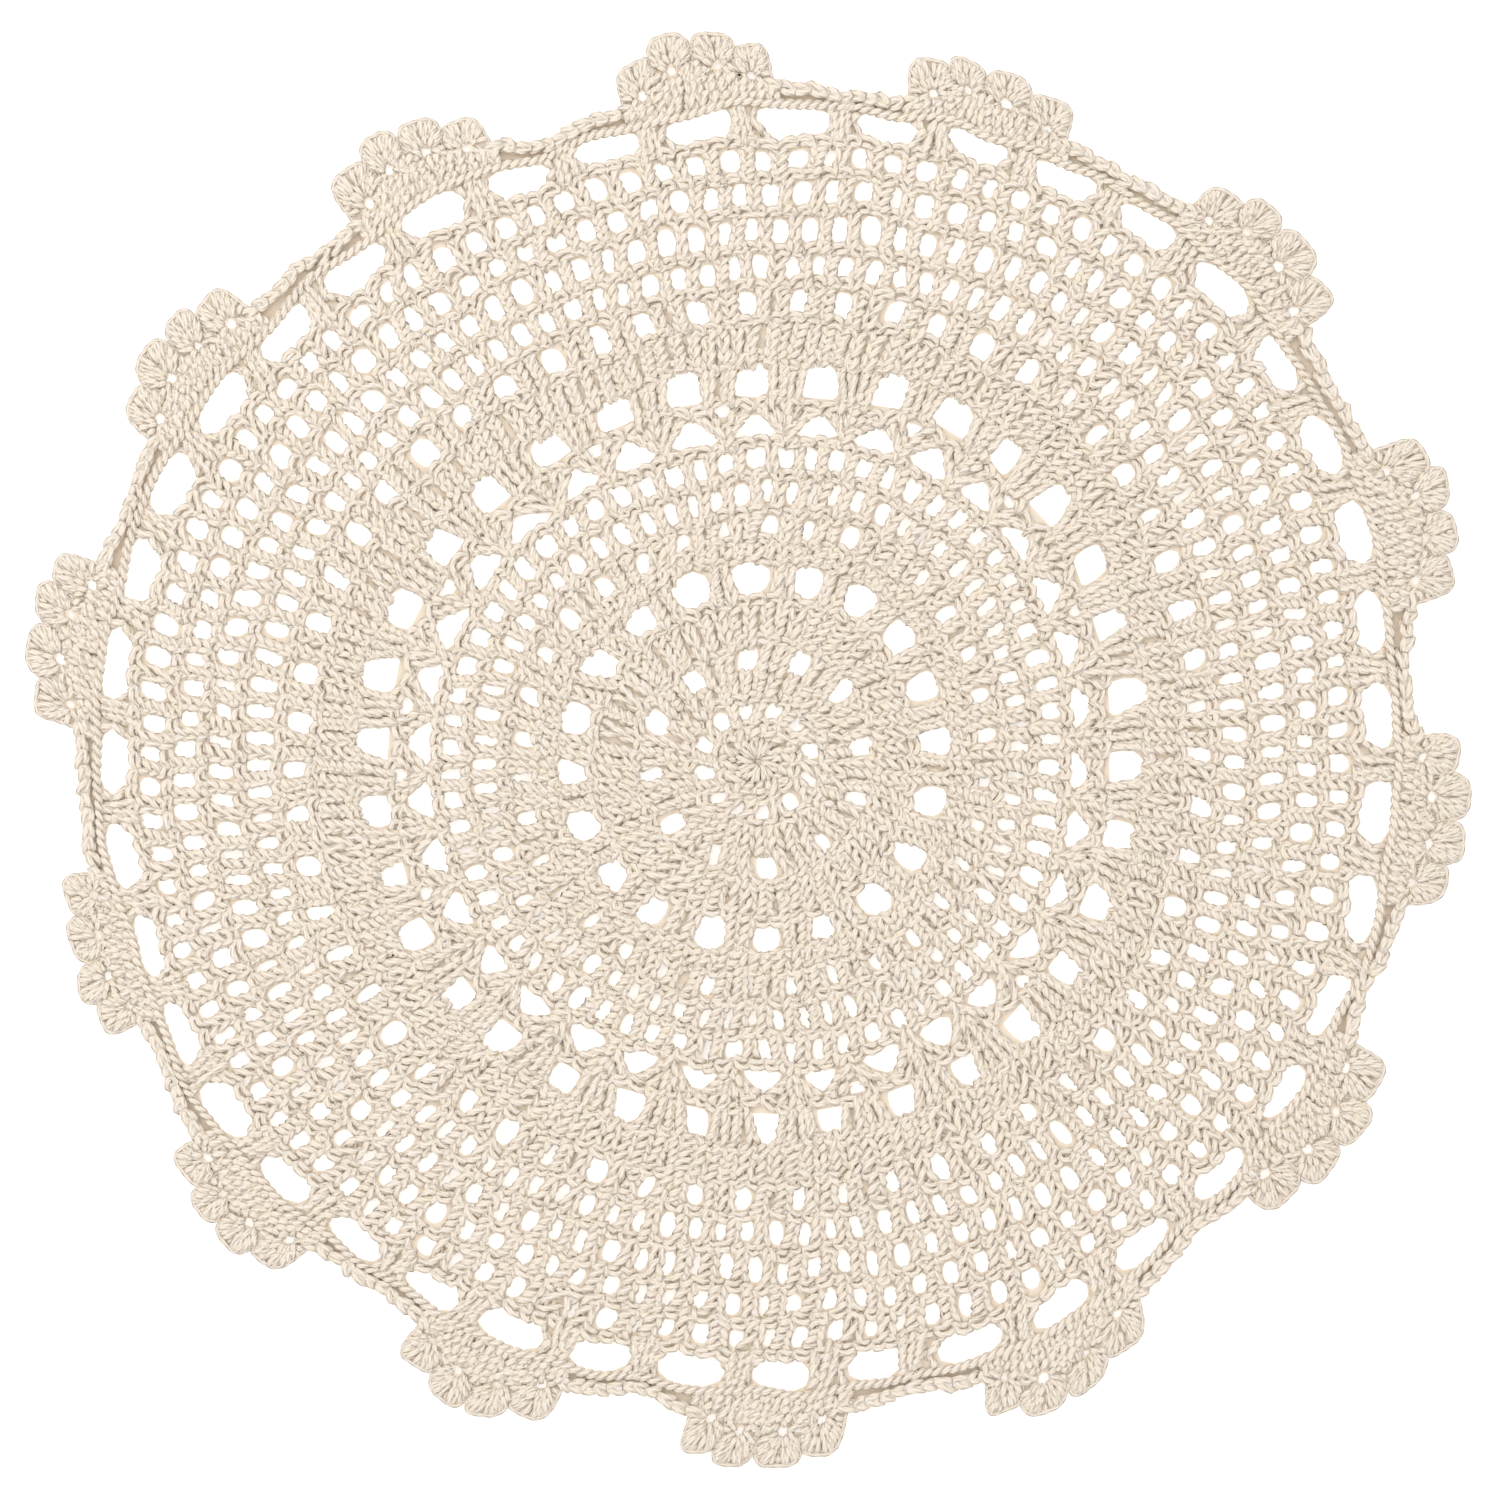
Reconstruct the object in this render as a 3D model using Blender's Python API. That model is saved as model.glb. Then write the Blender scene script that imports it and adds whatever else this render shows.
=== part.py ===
"""A round crocheted lace doily, modelled as the one openwork cloth that it is.

It is worked in the round from thick cotton yarn, from a twelve-spoke middle out to fourteen scallops,
and it lies flat. The cloth is one solid: a flat outline with the larger gaps as holes, THICKNESS deep.
Sizes are given for an even piece of crochet, as a radius from the middle and a turn round it, and
laid() moves each point to where the uneven, hand-worked cloth lies.
"""
import math
from collections import namedtuple

import bpy
import numpy as np

MM = 0.001

# Driving sizes
NODE = "doily"
THICKNESS = 3.0 * MM          # two 2 mm yarns crossed and pressed
TIP_RADIUS = 192.0 * MM       # middle of the medallion to the tips of the middle lobes

# The gaps, a row for each round that is open enough. Radius is at the middle of the gap, the widths run
# along the round at the gap's inner and outer end, all in mm; first is one gap's turn in degrees, and
# square sets the shape from an oval (1) to a box (0).
Gaps = namedtuple("Gaps", "name count radius inner_width outer_width height corners first square")
GAPS = (
    Gaps("windows round the medallion", 20, 47.9, 6.0, 9.8, 7.4, 8, 93.5, 0.55),
    Gaps("triangles of the V round", 34, 87.8, 12.8, 2.8, 5.6, 7, 91.7, 0.60),
    Gaps("windows of the shell round", 34, 98.9, 8.6, 8.8, 8.6, 8, 92.2, 0.55),
    Gaps("wide mesh", 57, 119.2, 4.9, 5.3, 6.0, 6, 92.8, 0.60),
    Gaps("net, inner half, at twice its pitch", 56, 133.9, 7.6, 8.4, 11.0, 6, 94.6, 0.60),
    Gaps("net, outer half, at twice its pitch", 56, 152.6, 8.6, 9.4, 10.5, 6, 96.4, 0.60),
    Gaps("loops under the edge", 42, 166.8, 17.6, 19.2, 7.6, 10, 95.2, 0.50),
)
SIZE_SPREAD = 0.10            # how far one gap's size strays from the next, as a share
TURN_SPREAD = 0.05            # and its place, as a share of the pitch

# One scallop: each lobe's place in degrees from the scallop's middle, its half width in degrees, and how
# far its tip stays inside TIP_RADIUS, in mm.
Lobe = namedtuple("Lobe", "place half_width short")
LOBES = (
    Lobe(5.20, 1.60, 3.2),
    Lobe(1.80, 1.80, 0.0),
    Lobe(-1.90, 1.90, 0.4),
    Lobe(-5.45, 1.65, 3.4),
)
LOBE_RISE = 3.6 * MM          # tip of a lobe above the notch beside it
LOBE_STEPS = 5
VALLEY_RADIUS = 178.8 * MM    # outer yarn of the edge beside a scallop
VALLEY_DIP = 2.6 * MM         # how much nearer it runs halfway to the next scallop
VALLEY_STEPS = 5

# How the hand-worked cloth strays from even. The scallops, clockwise from the top one: the turn by which
# each is off its even place, and by how many mm it, and the edge between it and the next, reach out.
FIRST_SCALLOP = 94.7
Scallop = namedtuple("Scallop", "shift reach valley")
SCALLOPS = (
    Scallop(0.0, 1.0, -3.0),
    Scallop(1.6, -6.5, -4.5),
    Scallop(-0.2, 0.5, 1.5),
    Scallop(-1.5, 5.5, 1.5),
    Scallop(-0.4, 2.0, 1.5),
    Scallop(-0.8, -1.5, -7.0),
    Scallop(-2.4, 1.0, 1.5),
    Scallop(-1.4, 2.0, 1.0),
    Scallop(-0.5, 2.5, -3.0),
    Scallop(-0.7, -0.5, -0.5),
    Scallop(1.2, -6.5, -1.0),
    Scallop(-1.4, 0.0, 1.5),
    Scallop(-1.3, 1.0, 2.0),
    Scallop(-1.1, 4.0, -3.0),
)
RIM_FROM = 156.0 * MM         # inside this radius the scallops' own unevenness has died out
RIM_DRIFT = 5.0 * MM          # the rim lies this far off the medallion's middle
RIM_DRIFT_TURN = 98.0         # in this direction, in degrees
Pull = namedtuple("Pull", "waves share peak")
STRETCH = (                   # the cloth is pulled out, as a share of the radius, in so many waves
    Pull(2, 0.0135, 34.0),
    Pull(3, 0.0160, 60.0),
    Pull(4, 0.0075, -40.0),
)
INNER_TWIST = (               # and turned along the round, in degrees
    Pull(2, 1.35, -8.0),
    Pull(3, 0.70, 35.0),
)
RIM_TWIST = (
    Pull(1, 2.00, 66.0),
    Pull(2, 1.30, 0.0),
    Pull(3, 0.85, -8.0),
)

COTTON = (0.84, 0.74, 0.60, 1.0)
COTTON_ROUGHNESS = 0.9


def waves(pulls, turn):
    """Sum of the pulls at a turn: each is its share times the cosine of its waves past its peak."""
    return sum(pull.share * np.cos(pull.waves * np.radians(turn - pull.peak)) for pull in pulls)


def round_the_rim(turn, steps):
    """Values given at even steps clockwise from the first scallop, joined in straight lines."""
    place = (FIRST_SCALLOP - turn) % 360 * len(steps) / 360
    return np.interp(place, np.arange(len(steps) + 1), list(steps) + [steps[0]])


def laid(radius, turn):
    """Points of the even cloth, by radius and turn in degrees, at their places on the laid cloth."""
    out = radius / TIP_RADIUS
    rim = np.clip((radius - RIM_FROM) / (TIP_RADIUS - RIM_FROM), 0, 1)
    shift = round_the_rim(turn, [scallop.shift for scallop in SCALLOPS])
    reach = round_the_rim(turn, [step for scallop in SCALLOPS for step in (scallop.reach, scallop.valley)])
    twist = waves(INNER_TWIST, turn) * (1 - out ** 4) + waves(RIM_TWIST, turn) * out ** 4
    angle = np.radians(turn + twist + shift * rim)
    far = radius * (1 + waves(STRETCH, turn)) + reach * MM * rim
    drift = math.radians(RIM_DRIFT_TURN)
    x = far * np.cos(angle) + RIM_DRIFT * out * math.cos(drift)
    y = far * np.sin(angle) + RIM_DRIFT * out * math.sin(drift)
    return np.column_stack((x, y))


def rounded(t, square):
    """Cosine drawn towards a square wave: the sign of cos(t) times its size to the power square."""
    wave = np.cos(t)
    return np.sign(wave) * np.abs(wave) ** square


def gap_outline(row, turn, size):
    """One gap: an oval squared off by row.square, tapered from its inner to its outer width."""
    t = 2 * math.pi * (np.arange(row.corners) + 0.5) / row.corners
    up = rounded(t - math.pi / 2, row.square) / 2
    across = rounded(t, row.square) / 2
    width = row.inner_width + (row.outer_width - row.inner_width) * (up + 0.5)
    radius = (row.radius + up * row.height * size) * MM
    return laid(radius, turn + np.degrees(across * width * MM * size / radius))


def round_of_gaps(row, chance):
    """The outlines of every gap of one round, each a little off the even place and size."""
    pitch = 360 / row.count
    for i in range(row.count):
        turn = row.first + pitch * (i + chance.uniform(-TURN_SPREAD, TURN_SPREAD))
        yield gap_outline(row, turn, 1 + chance.uniform(-SIZE_SPREAD, SIZE_SPREAD))


def lobe_outline(lobe, middle):
    """The edge of one lobe: a half circle's rise and fall over LOBE_RISE, stretched to the lobe."""
    t = np.linspace(math.pi - 0.35, 0.35, LOBE_STEPS)
    tip = TIP_RADIUS - lobe.short * MM
    return tip - LOBE_RISE * (1 - np.sin(t)), middle + lobe.place - lobe.half_width * np.cos(t)


def edge_outline():
    """The outer edge, clockwise: each scallop's lobes, then the yarn that dips to the next scallop."""
    pitch = 360 / len(SCALLOPS)
    before = LOBES[0].place + LOBES[0].half_width
    after = LOBES[-1].half_width - LOBES[-1].place
    radii, turns = [], []
    for i in range(len(SCALLOPS)):
        middle = FIRST_SCALLOP - pitch * i
        for lobe in LOBES:
            radius, turn = lobe_outline(lobe, middle)
            radii.append(radius)
            turns.append(turn)
        along = np.linspace(0, 1, VALLEY_STEPS)
        radii.append(VALLEY_RADIUS - VALLEY_DIP * np.sin(math.pi * along))
        turns.append(middle - after - (pitch - before - after) * along)
    return laid(np.concatenate(radii), np.concatenate(turns))


def add_outline(curve, points):
    """A closed straight-sided spline through the points."""
    spline = curve.splines.new("POLY")
    spline.points.add(len(points) - 1)
    flat = np.zeros((len(points), 4))
    flat[:, :2] = points
    flat[:, 3] = 1
    spline.points.foreach_set("co", flat.ravel())
    spline.use_cyclic_u = True


def make_cotton():
    """Undyed cotton: a warm cream, without shine."""
    material = bpy.data.materials.new("cotton")
    material.use_nodes = True
    shader = material.node_tree.nodes["Principled BSDF"]
    shader.inputs["Base Color"].default_value = COTTON
    shader.inputs["Roughness"].default_value = COTTON_ROUGHNESS
    shader.inputs["Metallic"].default_value = 0.0
    return material


def make_doily(collection):
    """The cloth: its edge and its gaps as one flat curve, centred on its own box and filled."""
    chance = np.random.default_rng(len(SCALLOPS))
    edge = edge_outline()
    middle = (edge.min(axis=0) + edge.max(axis=0)) / 2
    curve = bpy.data.curves.new(NODE, "CURVE")
    curve.dimensions = "2D"
    curve.fill_mode = "BOTH"
    curve.extrude = THICKNESS / 2
    add_outline(curve, edge - middle)
    for row in GAPS:
        for outline in round_of_gaps(row, chance):
            add_outline(curve, outline - middle)
    curve.materials.append(make_cotton())
    doily = bpy.data.objects.new(NODE, curve)
    doily.location.z = THICKNESS / 2
    collection.objects.link(doily)


def main():
    for old in list(bpy.data.objects):
        bpy.data.objects.remove(old, do_unlink=True)
    collection = bpy.data.collections.new("lace doily")
    bpy.context.scene.collection.children.link(collection)
    make_doily(collection)


main()
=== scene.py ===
# %% [markdown]
# # A round crocheted lace doily, stitch by stitch
#
# The real doily is one long cotton yarn, hooked into loops and worked round and round from the middle:
# spokes, fans, a round of windows, an open net, a V round, shells, a wider net, and a scalloped edge.
# A picture of lace on a flat disc would look right from one side only, so here every strand of yarn is
# a small tube of its own. The tubes are computed with numpy for a whole round at a time.
#
# The imported CAD part comes in first. The yarn is worked to stay inside its box.

# %% The imported part
import math
from collections import namedtuple

import bpy
import numpy as np
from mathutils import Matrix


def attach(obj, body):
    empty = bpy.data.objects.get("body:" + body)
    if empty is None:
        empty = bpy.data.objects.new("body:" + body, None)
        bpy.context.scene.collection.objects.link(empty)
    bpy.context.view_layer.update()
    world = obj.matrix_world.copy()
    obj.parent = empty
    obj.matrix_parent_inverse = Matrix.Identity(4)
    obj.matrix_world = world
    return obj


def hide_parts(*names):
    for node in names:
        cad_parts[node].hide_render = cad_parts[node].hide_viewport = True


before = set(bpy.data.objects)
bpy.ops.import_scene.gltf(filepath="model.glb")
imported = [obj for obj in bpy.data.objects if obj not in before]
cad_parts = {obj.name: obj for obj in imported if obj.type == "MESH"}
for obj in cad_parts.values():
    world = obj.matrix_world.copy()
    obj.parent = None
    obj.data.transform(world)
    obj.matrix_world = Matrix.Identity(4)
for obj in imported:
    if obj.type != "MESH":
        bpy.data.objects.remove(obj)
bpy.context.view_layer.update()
MM = 0.001

# %% [markdown]
# ## Where the even pattern lies on the table
#
# A crochet chart is even: every round is a circle and every repeat the same. Real work laid on a table is
# not, because the tension changes and the rim is pulled about by hand. The sizes below are those of the
# even chart, in millimetres and degrees. laid() then moves each point to where the uneven cloth lies, so
# one function bends all the stitches together and neighbours always stay joined.

# %% How the laid cloth strays from the chart
TIP_RADIUS = 192.0            # middle of the medallion to the tips of the middle lobes
FIRST_SCALLOP = 94.7          # turn of the topmost scallop
RIM_FROM = 156.0              # inside this radius the scallops' own unevenness has died out
RIM_DRIFT = 5.0               # the rim lies this far off the medallion's middle
RIM_DRIFT_TURN = 98.0         # towards this turn

Scallop = namedtuple("Scallop", "shift reach valley")
SCALLOPS = (                  # clockwise: degrees off its place, mm that it and the edge after it reach out
    Scallop(0.0, 1.0, -3.0),
    Scallop(1.6, -6.5, -4.5),
    Scallop(-0.2, 0.5, 1.5),
    Scallop(-1.5, 5.5, 1.5),
    Scallop(-0.4, 2.0, 1.5),
    Scallop(-0.8, -1.5, -7.0),
    Scallop(-2.4, 1.0, 1.5),
    Scallop(-1.4, 2.0, 1.0),
    Scallop(-0.5, 2.5, -3.0),
    Scallop(-0.7, -0.5, -0.5),
    Scallop(1.2, -6.5, -1.0),
    Scallop(-1.4, 0.0, 1.5),
    Scallop(-1.3, 1.0, 2.0),
    Scallop(-1.1, 4.0, -3.0),
)
# The cloth is pulled out by STRETCH, a share of the radius, and turned by its twists, in degrees. Its gaps
# are wider by SLACK, a share, but never by more than MOST_SLACK.
Pull = namedtuple("Pull", "waves share peak")
STRETCH = (Pull(2, 0.0135, 34.0), Pull(3, 0.0160, 60.0), Pull(4, 0.0075, -40.0))
INNER_TWIST = (Pull(2, 1.35, -8.0), Pull(3, 0.70, 35.0))
RIM_TWIST = (Pull(1, 2.00, 66.0), Pull(2, 1.30, 0.0), Pull(3, 0.85, -8.0))
SLACK = (Pull(1, 0.20, 116.0), Pull(2, 0.08, -55.0), Pull(3, 0.05, 5.0))
MOST_SLACK = 0.08


def waves(pulls, turn):
    """Sum of the pulls at a turn: each is its share times the cosine of its waves past its peak."""
    return sum(pull.share * np.cos(pull.waves * np.radians(turn - pull.peak)) for pull in pulls)


def evenly(first, count, more=0):
    """Turns of so many places at even steps right round the doily, and of some more that follow them."""
    return first + 360 / count * np.arange(count + more)


def round_the_rim(turn, steps):
    """Values given at even steps clockwise from the first scallop, joined in straight lines."""
    place = (FIRST_SCALLOP - turn) % 360 * len(steps) / 360
    return np.interp(place, np.arange(len(steps) + 1), list(steps) + [steps[0]])


def off_centre(radius, turn):
    """Place on the laid cloth, from the medallion's middle: the turn is twisted by slow waves that differ
    at the middle and the rim, the radius is stretched by slow waves, and the rim drifts to one side."""
    out = radius / TIP_RADIUS
    rim = np.clip((radius - RIM_FROM) / (TIP_RADIUS - RIM_FROM), 0, 1)
    shift = round_the_rim(turn, [scallop.shift for scallop in SCALLOPS])
    reach = round_the_rim(turn, [step for scallop in SCALLOPS for step in (scallop.reach, scallop.valley)])
    twist = waves(INNER_TWIST, turn) * (1 - out ** 4) + waves(RIM_TWIST, turn) * out ** 4
    angle = np.radians(turn + twist + shift * rim)
    far = radius * (1 + waves(STRETCH, turn)) + reach * rim
    drift = math.radians(RIM_DRIFT_TURN)
    x = far * np.cos(angle) + RIM_DRIFT * out * math.cos(drift)
    y = far * np.sin(angle) + RIM_DRIFT * out * math.sin(drift)
    return np.stack((x, y), axis=-1)


def slack(turn):
    """By what share the gaps at a turn are wider than usual. Where it is below nothing they are narrower."""
    return np.minimum(waves(SLACK, turn), MOST_SLACK)


# %% [markdown]
# The outline of the cloth is worked out once, as it was for the solid: four lobes to a scallop, and the
# edge yarn that dips between scallops. The middle of its box is the part's origin, so subtracting it
# puts every stitch on the CAD part.

# %% The outer edge and the part's origin
Lobe = namedtuple("Lobe", "place half_width short")
LOBES = (                     # degrees from the scallop's middle, half its width, mm short of TIP_RADIUS
    Lobe(5.20, 1.60, 3.2),
    Lobe(1.80, 1.80, 0.0),
    Lobe(-1.90, 1.90, 0.4),
    Lobe(-5.45, 1.65, 3.4),
)
LOBE_RISE = 3.6               # tip of a lobe above the notch beside it
NOTCH = 0.35                  # the notch cuts this angle off a lobe's half circle, in radians
LOBE_STEPS = 5
VALLEY_RADIUS = 178.8         # outer yarn of the edge beside a scallop
VALLEY_DIP = 2.6              # how much nearer it runs halfway to the next scallop
VALLEY_STEPS = 5
SCALLOP_PITCH = 360 / len(SCALLOPS)
SCALLOP_MIDDLES = FIRST_SCALLOP - SCALLOP_PITCH * np.arange(len(SCALLOPS))
LEFT_OF_MIDDLE = LOBES[0].place + LOBES[0].half_width
RIGHT_OF_MIDDLE = LOBES[-1].half_width - LOBES[-1].place


def valley_turn(middle, share):
    """The turn at a share of the way from one scallop, by the turn of its middle, to the next."""
    return middle - RIGHT_OF_MIDDLE - (SCALLOP_PITCH - LEFT_OF_MIDDLE - RIGHT_OF_MIDDLE) * share


def edge_turns_and_radii():
    """The edge, clockwise: half circles LOBE_RISE high for the lobes, a sine dip for each valley."""
    arc = np.linspace(math.pi - NOTCH, NOTCH, LOBE_STEPS)
    radii = [TIP_RADIUS - lobe.short - LOBE_RISE * (1 - np.sin(arc)) for lobe in LOBES]
    turns = [lobe.place - lobe.half_width * np.cos(arc) for lobe in LOBES]
    share = np.linspace(0, 1, VALLEY_STEPS)
    radii.append(VALLEY_RADIUS - VALLEY_DIP * np.sin(math.pi * share))
    turns.append(valley_turn(0, share))
    one = np.concatenate(turns)
    return (SCALLOP_MIDDLES[:, None] + one).ravel(), np.tile(np.concatenate(radii), len(SCALLOPS))


edge_turn, edge_radius = edge_turns_and_radii()
edge = off_centre(edge_radius, edge_turn)
ORIGIN = (edge.min(axis=0) + edge.max(axis=0)) / 2

# %% [markdown]
# No two stitches made by hand are alike. So on top of the slow bends of the whole cloth every stitch is
# pushed aside a little. Chance numbers for each stitch alone would tear neighbours apart, so the push is a
# sum of sine waves that run over the cloth in chance directions. It is smooth, it never seems to repeat,
# and it takes one line of numpy for any number of points.

# %% How hand work strays from the chart
WOBBLE = 0.75                 # how far a stitch is usually pushed aside, mm
WOBBLES = 16                  # waves in the sum
WOBBLE_LENGTHS = (17.0, 42.0) # least and most length of a wave, mm
WOBBLE_SEED = 5
wobbles = np.random.default_rng(WOBBLE_SEED)
WAVE_WAY, PUSH_WAY, WAVE_START = wobbles.uniform(0, 2 * math.pi, (3, WOBBLES))
WAVE_LENGTH = wobbles.uniform(*WOBBLE_LENGTHS, WOBBLES)


def wobble(place):
    """How far the stitches at a place are pushed aside: a sum of sine waves that run over the cloth in
    chance directions, each pushing in a direction of its own."""
    across = np.stack((np.cos(WAVE_WAY), np.sin(WAVE_WAY))) * 2 * math.pi / WAVE_LENGTH
    push = np.stack((np.cos(PUSH_WAY), np.sin(PUSH_WAY)), axis=1) * WOBBLE * math.sqrt(2 / WOBBLES)
    return np.sin(place @ across + WAVE_START) @ push


def laid(radius, turn):
    """Where a point of the chart, in mm and degrees, lies on the table, in mm from the part's origin."""
    radius, turn = np.broadcast_arrays(np.asarray(radius, float), np.asarray(turn, float))
    place = off_centre(radius, turn)
    return place + wobble(place) - ORIGIN


print("the edge is pushed aside by up to", np.linalg.norm(wobble(edge), axis=1).max().round(2), "mm")

# %% [markdown]
# ## The yarn
#
# The yarn is a soft 2 mm cotton, plied from thin threads, so its surface is a bundle of slanting ridges.
# A strand could be a curve object with a bevel, but thousands of curves are slow to evaluate. Instead the
# path of every strand in a round is one array, and a ring of three points is carried along all the paths
# at once. Each tube carries its own UV map: u runs along the yarn in millimetres, v once round it. The
# ply pattern is then drawn along the yarn and never slides over it.

# %% The yarn, and smooth paths for its strands
YARN = 0.95                   # from the middle of a tube to its edges, mm
SIDES = 3                     # edges along a tube: with smooth shading three are enough for a thin yarn
HALF_YARN = YARN * math.cos(math.radians(30))     # half the width that such a tube shows from above, mm
STEPS = 11                    # rings of points along most strands
POLE = 0.6                    # a tube's pole is this share of its half thickness beyond its last ring
PLY_SHIFT = 40.0              # how far the ply pattern of one strand is moved along from the next, mm


def flow(points, steps):
    """Smooth paths (strands, steps, 3) through control points (strands, corners, 3).
    Between corners it is the Catmull-Rom cubic: it passes each corner in the direction of its two
    neighbours, which is how a strand under tension rounds the strands that hold it."""
    corners = points.shape[1]
    place = np.linspace(0, corners - 1, steps)
    cell = np.minimum(place.astype(int), corners - 2)
    t = (place - cell)[:, None]
    padded = np.concatenate((2 * points[:, :1] - points[:, 1:2], points,
                             2 * points[:, -1:] - points[:, -2:-1]), axis=1)
    before, here, there, after = (padded[:, cell + k] for k in range(4))
    return 0.5 * (2 * here + (there - before) * t + (2 * before - 5 * here + 4 * there - after) * t ** 2
                  + (3 * here - before - 3 * there + after) * t ** 3)


def unit(vectors):
    """Vectors over their lengths. The least length keeps it from dividing by nothing."""
    return vectors / np.maximum(np.linalg.norm(vectors, axis=-1, keepdims=True), 1e-9)


print("a strand shows", round(2 * HALF_YARN, 2), "mm wide from above")

# %% [markdown]
# To lay a ring of points round a path, two directions square to the path are needed at every step. The
# first is level: it is the cross product of the path's direction and straight up. The second is square to
# both. No strand of a flat lace ever runs straight up, so these never fail, and they don't turn round the
# path from step to step, so the tube has no twist of its own. With the first of three edges below, the
# top of the tube is one broad face, which smooth shading makes round and soft.

# %% A tube along every path at once
def tubes(path, thick):
    """Points of closed tubes round paths (strands, steps, 3) of half thickness thick (strands, steps):
    path + thick × (cos v × level direction across it + sin v × the direction square to both)."""
    along = unit(np.gradient(path, axis=1))
    level = unit(np.cross(along, (0.0, 0.0, 1.0)))
    square = np.cross(level, along)
    v = 2 * math.pi * (np.arange(SIDES) / SIDES - 0.25)      # the first edge is below
    out = np.cos(v)[:, None] * level[:, :, None] + np.sin(v)[:, None] * square[:, :, None]
    ring = path[:, :, None] + thick[:, :, None, None] * out
    first = path[:, :1] - along[:, :1] * thick[:, :1, None] * POLE
    last = path[:, -1:] + along[:, -1:] * thick[:, -1:, None] * POLE
    strands, steps = path.shape[:2]
    return np.concatenate((ring.reshape(strands, steps * SIDES, 3), first, last), axis=1)


def tube_faces(steps):
    """Corner numbers of one tube: four-sided faces between rings, and a fan to a pole at each end."""
    i, j = np.meshgrid(np.arange(steps - 1), np.arange(SIDES), indexing="ij")
    k = (j + 1) % SIDES
    quads = np.stack((i * SIDES + j, (i + 1) * SIDES + j, (i + 1) * SIDES + k, i * SIDES + k), -1)
    j, k = np.arange(SIDES), (np.arange(SIDES) + 1) % SIDES
    pole = steps * SIDES
    start = np.stack((np.full(SIDES, pole), j, k), -1)
    end = (steps - 1) * SIDES
    finish = np.stack((end + k, end + j, np.full(SIDES, pole + 1)), -1)
    return quads.reshape(-1, 4), np.concatenate((start, finish))


def tube_uvs(path, steps, shift):
    """u along each path in mm plus its shift, v from 0 to 1 round it, for every face corner."""
    strands = path.shape[0]
    length = np.cumsum(np.linalg.norm(np.diff(path, axis=1), axis=2), axis=1)
    u = np.concatenate((np.zeros((strands, 1)), length), axis=1) + shift[:, None]
    i, j = np.meshgrid(np.arange(steps - 1), np.arange(SIDES), indexing="ij")
    i, j = i.ravel(), j.ravel()
    quad_u = np.stack((u[:, i], u[:, i + 1], u[:, i + 1], u[:, i]), -1)
    quad_v = np.broadcast_to(np.stack((j, j, j + 1, j + 1), -1) / SIDES, quad_u.shape)
    j = np.arange(SIDES)
    start_u = np.broadcast_to(u[:, :1, None], (strands, SIDES, 3))
    finish_u = np.broadcast_to(u[:, -1:, None], (strands, SIDES, 3))
    start_v = np.stack((j + 0.5, j, j + 1), -1) / SIDES
    finish_v = np.stack((j + 1, j, j + 0.5), -1) / SIDES
    quad = np.stack((quad_u, quad_v), -1)
    caps = np.concatenate((np.stack((start_u, np.broadcast_to(start_v, start_u.shape)), -1),
                           np.stack((finish_u, np.broadcast_to(finish_v, start_u.shape)), -1)), axis=1)
    return quad.reshape(-1, 2), caps.reshape(-1, 2)


quads, tris = tube_faces(STEPS)
print("a strand of", STEPS, "rings:", 2 * len(quads) + len(tris), "triangles")

# %% [markdown]
# Strands are collected by zone, because a part of the doily that is one mesh is easy to handle, and each
# mesh is kept well under 200,000 triangles. wind() notes the paths, and spin() turns a zone into a mesh.

# %% Winding strands into zones
STRAND_SPREAD = 0.07          # how much thicker or thinner one strand is than the next, as a share
RING_SPREAD = 0.04            # and one place on a strand than the next
END_PINCH = 0.22              # a strand is this share thinner at its ends, where it dives under another
zones = {}


def wind(zone, points, steps, chance, thickness=YARN):
    """Adds strands to a zone: control points (strands, corners, 3) in mm, made smooth in so many steps.
    Each is thinner at its ends by END_PINCH times the fourth power of the place from its middle, and
    rests on the table at the lowest."""
    path = flow(points, steps)
    strands = len(path)
    thick = thickness * (1 + chance.uniform(-STRAND_SPREAD, STRAND_SPREAD, (strands, 1)))
    thick = thick * (1 + chance.uniform(-RING_SPREAD, RING_SPREAD, (strands, steps)))
    thick = thick * (1 - END_PINCH * np.linspace(-1, 1, steps) ** 4)
    path[..., 2] = np.maximum(path[..., 2], thick)
    zones.setdefault(zone, []).append((path, thick, chance.uniform(0, PLY_SHIFT, strands),
                                       chance.uniform(0, 1, strands)))


# %% [markdown]
# A mesh can be given to Blender face by face with bmesh, but for hundreds of thousands of faces that is
# slow. foreach_set hands over whole arrays: the points, the corners of all faces one after another, and
# where each face starts. The UV map has a value for each corner, and the tone one for each face.

# %% All the strands of a zone as arrays
def joined(zone):
    """Points in metres, four-sided faces, three-sided faces, and for all the faces in that order their
    UV map and their tones, which are one number for each strand."""
    points, quads, tris, quad_uvs, tri_uvs, quad_tones, tri_tones = ([] for _ in range(7))
    first = 0
    for path, thick, shift, tone in zones[zone]:
        strands, steps = path.shape[:2]
        corner = tubes(path, thick)
        quad, tri = tube_faces(steps)
        start = first + corner.shape[1] * np.arange(strands)[:, None, None]
        quads.append((quad[None] + start).reshape(-1, 4))
        tris.append((tri[None] + start).reshape(-1, 3))
        uv_quad, uv_tri = tube_uvs(path, steps, shift)
        quad_uvs.append(uv_quad)
        tri_uvs.append(uv_tri)
        quad_tones.append(np.repeat(tone, len(quad)))
        tri_tones.append(np.repeat(tone, len(tri)))
        points.append(corner.reshape(-1, 3))
        first += corner.shape[0] * corner.shape[1]
    return (np.concatenate(points) * MM, np.concatenate(quads), np.concatenate(tris),
            np.concatenate(quad_uvs + tri_uvs), np.concatenate(quad_tones + tri_tones))


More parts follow.
